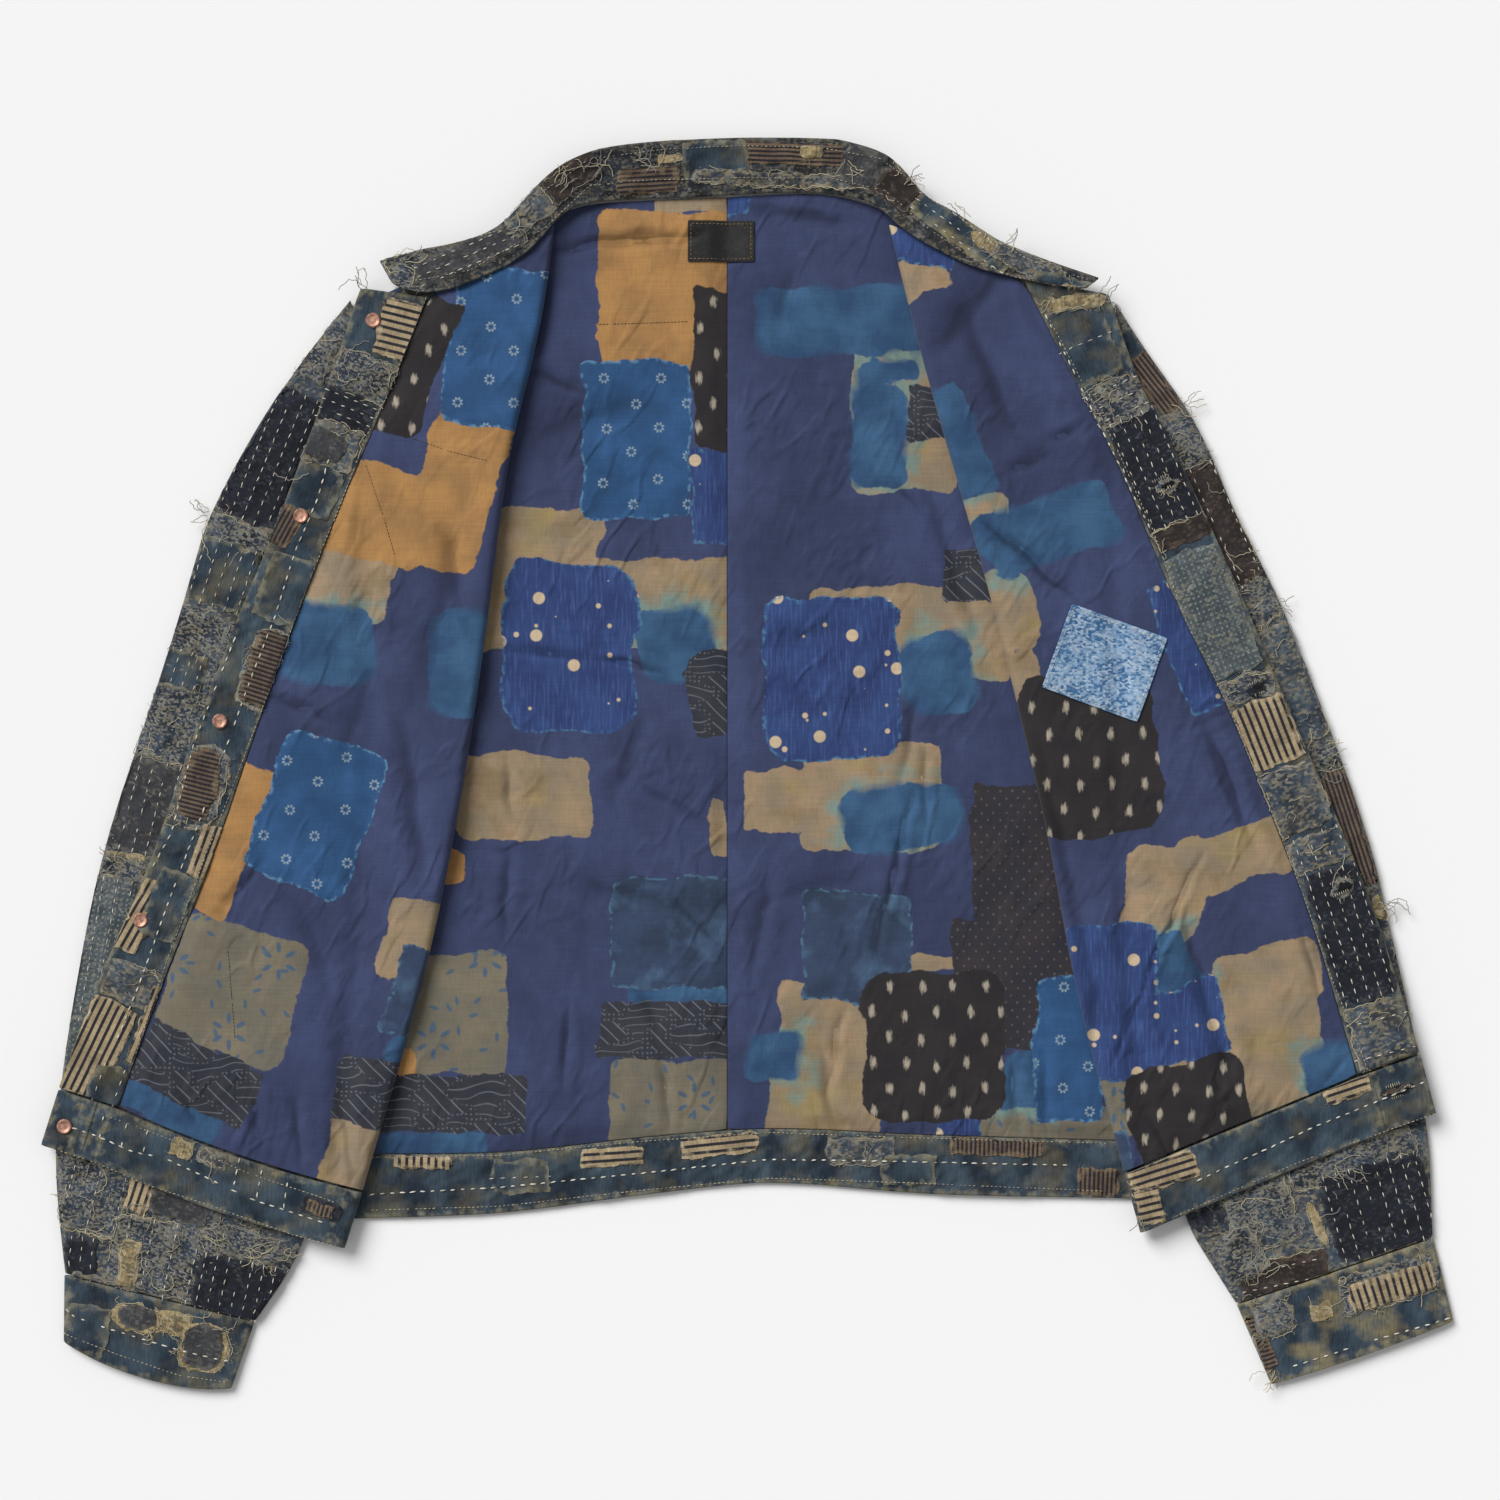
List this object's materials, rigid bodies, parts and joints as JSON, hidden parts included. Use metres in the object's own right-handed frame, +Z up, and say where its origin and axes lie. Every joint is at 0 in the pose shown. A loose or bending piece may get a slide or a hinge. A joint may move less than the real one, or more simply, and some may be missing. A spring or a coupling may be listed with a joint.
{
  "type": "patched boro jacket",
  "caption": "Lined patched cotton jacket laid open on its back, both fronts turned out over the sleeves to show the lining.",
  "frame": {"origin": "middle of the jacket's box on the surface it lies on", "axes": "+Z up from the surface, +Y from hem to collar, +X to the viewer's right"},
  "size_m": [0.8901, 0.7891, 0.0167],
  "materials": {
    "shell_cloth": "indigo dyed patched cotton, matte",
    "lining_cloth": "printed slate indigo cotton, matte",
    "facing_cloth": "patched indigo cotton with running stitches",
    "band_cloth": "patched indigo denim hem band",
    "collar_cloth": "worn mottled patched cotton",
    "sleeve_cloth": "patched indigo cotton with sashiko rows",
    "cuff_cloth": "patched denim cuff",
    "copper": "worn copper plate",
    "neck_label_cloth": "plain black woven label",
    "side_label_cloth": "plain mottled indigo label"
  },
  "bodies": {
    "root": {"back_shell": "shell_cloth", "back_lining_left": "lining_cloth", "back_lining_right": "lining_cloth", "hem_band_back": "band_cloth", "collar": "collar_cloth", "neck_label": "neck_label_cloth", "side_label": "side_label_cloth", "front_left_shell": "shell_cloth", "front_left_lining": "lining_cloth", "front_left_facing": "facing_cloth", "hem_band_left": "band_cloth", "sleeve_left_top": "sleeve_cloth", "sleeve_left_under": "sleeve_cloth", "cuff_left": "cuff_cloth", "front_right_shell": "shell_cloth", "front_right_lining": "lining_cloth", "front_right_facing": "facing_cloth", "hem_band_right": "band_cloth", "sleeve_right_top": "sleeve_cloth", "sleeve_right_under": "sleeve_cloth", "cuff_right": "cuff_cloth", "tack_button_1": "copper", "tack_button_2": "copper", "tack_button_3": "copper", "tack_button_4": "copper", "tack_button_5": "copper"}
  },
  "joints": []
}
